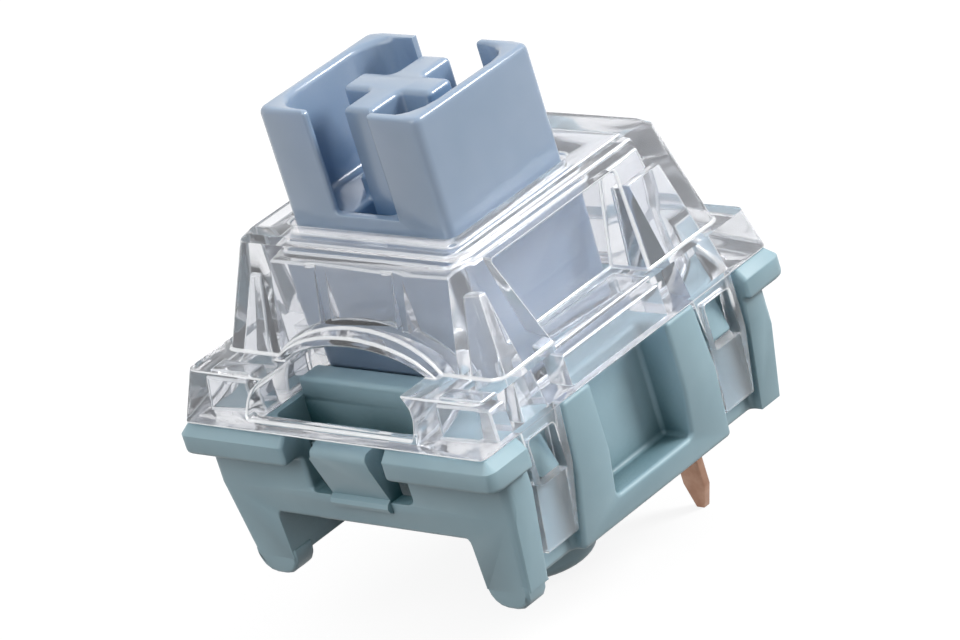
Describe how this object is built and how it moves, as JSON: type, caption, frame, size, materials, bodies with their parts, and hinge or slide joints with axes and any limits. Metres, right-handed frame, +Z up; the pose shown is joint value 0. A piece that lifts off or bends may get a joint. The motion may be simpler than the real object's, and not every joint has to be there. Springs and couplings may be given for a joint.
{
  "type": "mechanical keyboard switch",
  "caption": "Plate-mounted keyboard switch: teal base, clear snap-fit hood, blue sliding stem with a dust guard round its cross, return spring and leaf contacts.",
  "frame": {"origin": "under the middle of the centring post, level with the contact pins' tips", "axes": "+Z up along the stem's travel; -Y is the side with the light window and lamp slot; +X is to the right of it; the contacts are on the +Y side"},
  "size_m": [0.0148, 0.0156, 0.0191],
  "materials": {
    "base_plastic": "moulded nylon, fine satin",
    "clear_plastic": "clear moulded polycarbonate, glossy",
    "stem_plastic": "moulded acetal, satin",
    "spring_wire": "drawn spring steel wire",
    "contact_alloy": "stamped copper alloy, tarnished brown",
    "leaf_alloy": "rolled copper alloy strip",
    "contact_gold": "gold alloy contact profile"
  },
  "bodies": {
    "housing": {"bottom_housing": "base_plastic", "top_housing": "clear_plastic", "return_spring": "spring_wire", "fixed_contact": "contact_alloy", "fixed_crosspoint": "contact_gold", "moving_terminal": "contact_alloy"},
    "stem": {"stem": "stem_plastic"},
    "leaf": {"contact_leaf": "leaf_alloy", "moving_crosspoint": "contact_gold"}
  },
  "joints": [
    {"name": "stem_slide", "type": "slide", "parent": "housing", "child": "stem", "axis": [0, 0, -1], "range_m": [0, 0.004], "stiffness_N_per_m": 75, "springref_m": -0.004, "deforming": ["return_spring"]},
    {"name": "leaf_bend", "type": "hinge", "parent": "housing", "child": "leaf", "pos_m": [0, 0.00483, 0.005], "axis": [1, 0, 0], "range_deg": [0, 3.3]}
  ],
  "couplings": [
    {"joint": "leaf_bend", "follows": "stem_slide", "rad_per_m": 14}
  ]
}
